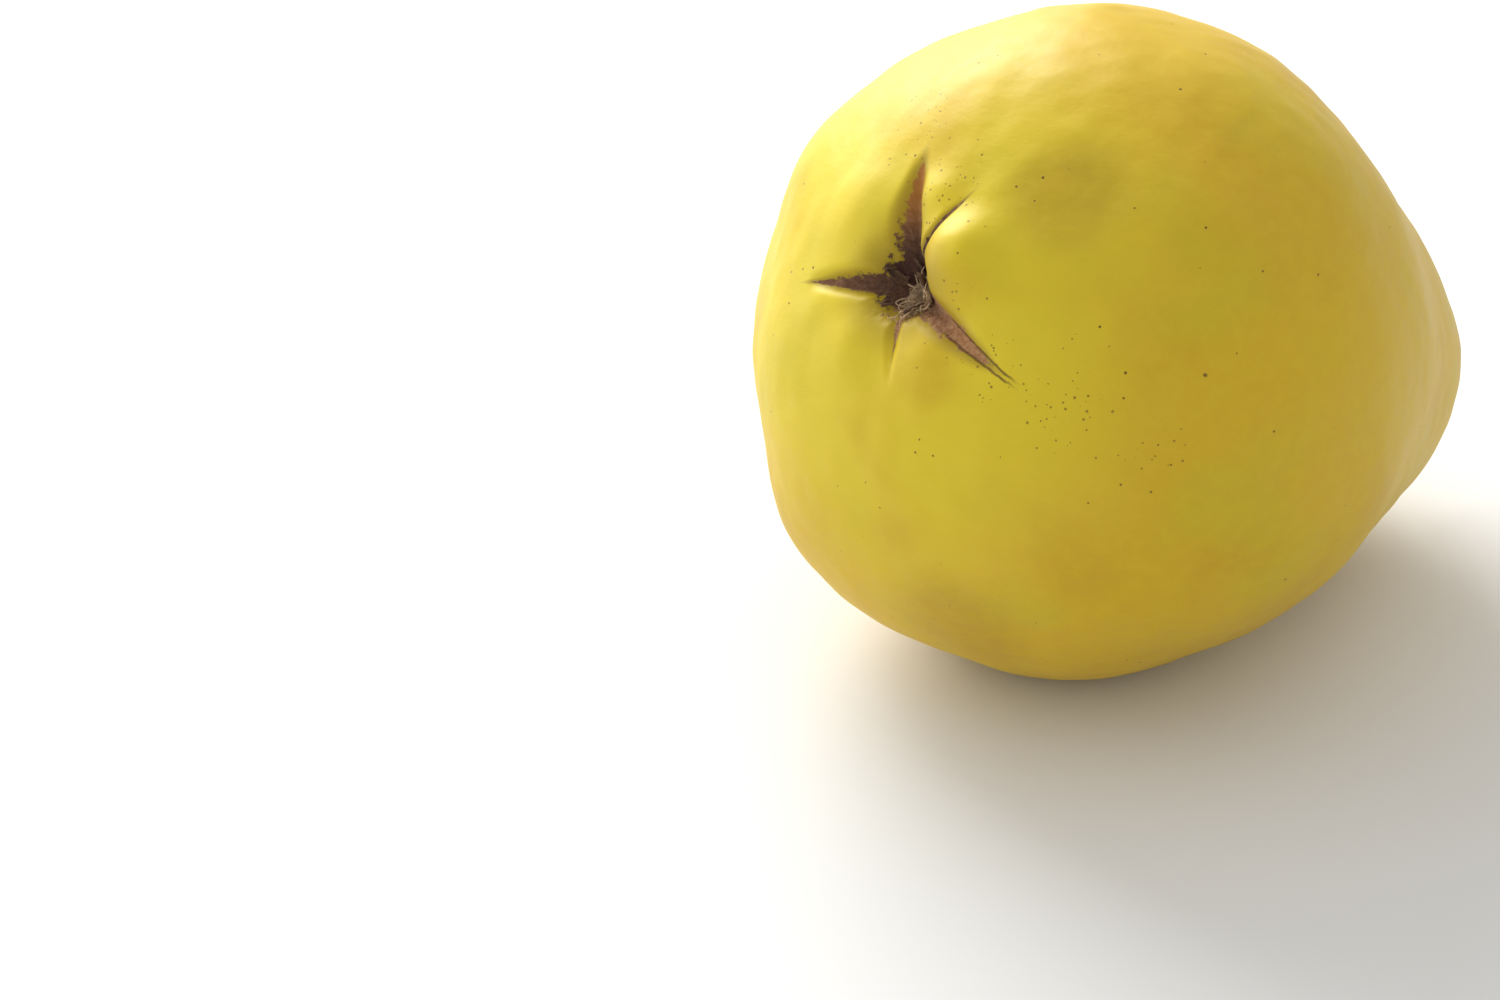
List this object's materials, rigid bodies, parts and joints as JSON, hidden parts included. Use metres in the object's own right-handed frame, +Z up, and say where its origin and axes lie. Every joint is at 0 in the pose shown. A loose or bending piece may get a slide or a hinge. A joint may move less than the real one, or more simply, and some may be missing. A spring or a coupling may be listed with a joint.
{
  "type": "quince",
  "caption": "Whole ripe quince lying on its side: broad lobed body, blunt neck with a woody stem stub, and a star-shaped furrowed eye with dried sepals.",
  "frame": {"origin": "middle of the whole outline in X and Y, at the height of the flat spot that the fruit rests on", "axes": "+Z up; the eye end faces -X and is raised by 31 degrees, the neck and stem point to +X and down"},
  "size_m": [0.1062, 0.0888, 0.0862],
  "materials": {
    "quince_skin": "smooth waxy yellow skin with fine dots, soft gloss, brown corky russet in the furrows of the eye",
    "dried_sepal": "dry curled brown calyx scrap, matt",
    "dried_stamens": "dry grey-brown threads, fuzzy and matt",
    "stem_wood": "rough dark brown woody stub, matt"
  },
  "bodies": {
    "root": {"fruit": "quince_skin", "sepal_1": "dried_sepal", "sepal_2": "dried_sepal", "sepal_3": "dried_sepal", "sepal_4": "dried_sepal", "sepal_5": "dried_sepal", "stamens": "dried_stamens", "stem": "stem_wood"}
  },
  "joints": []
}
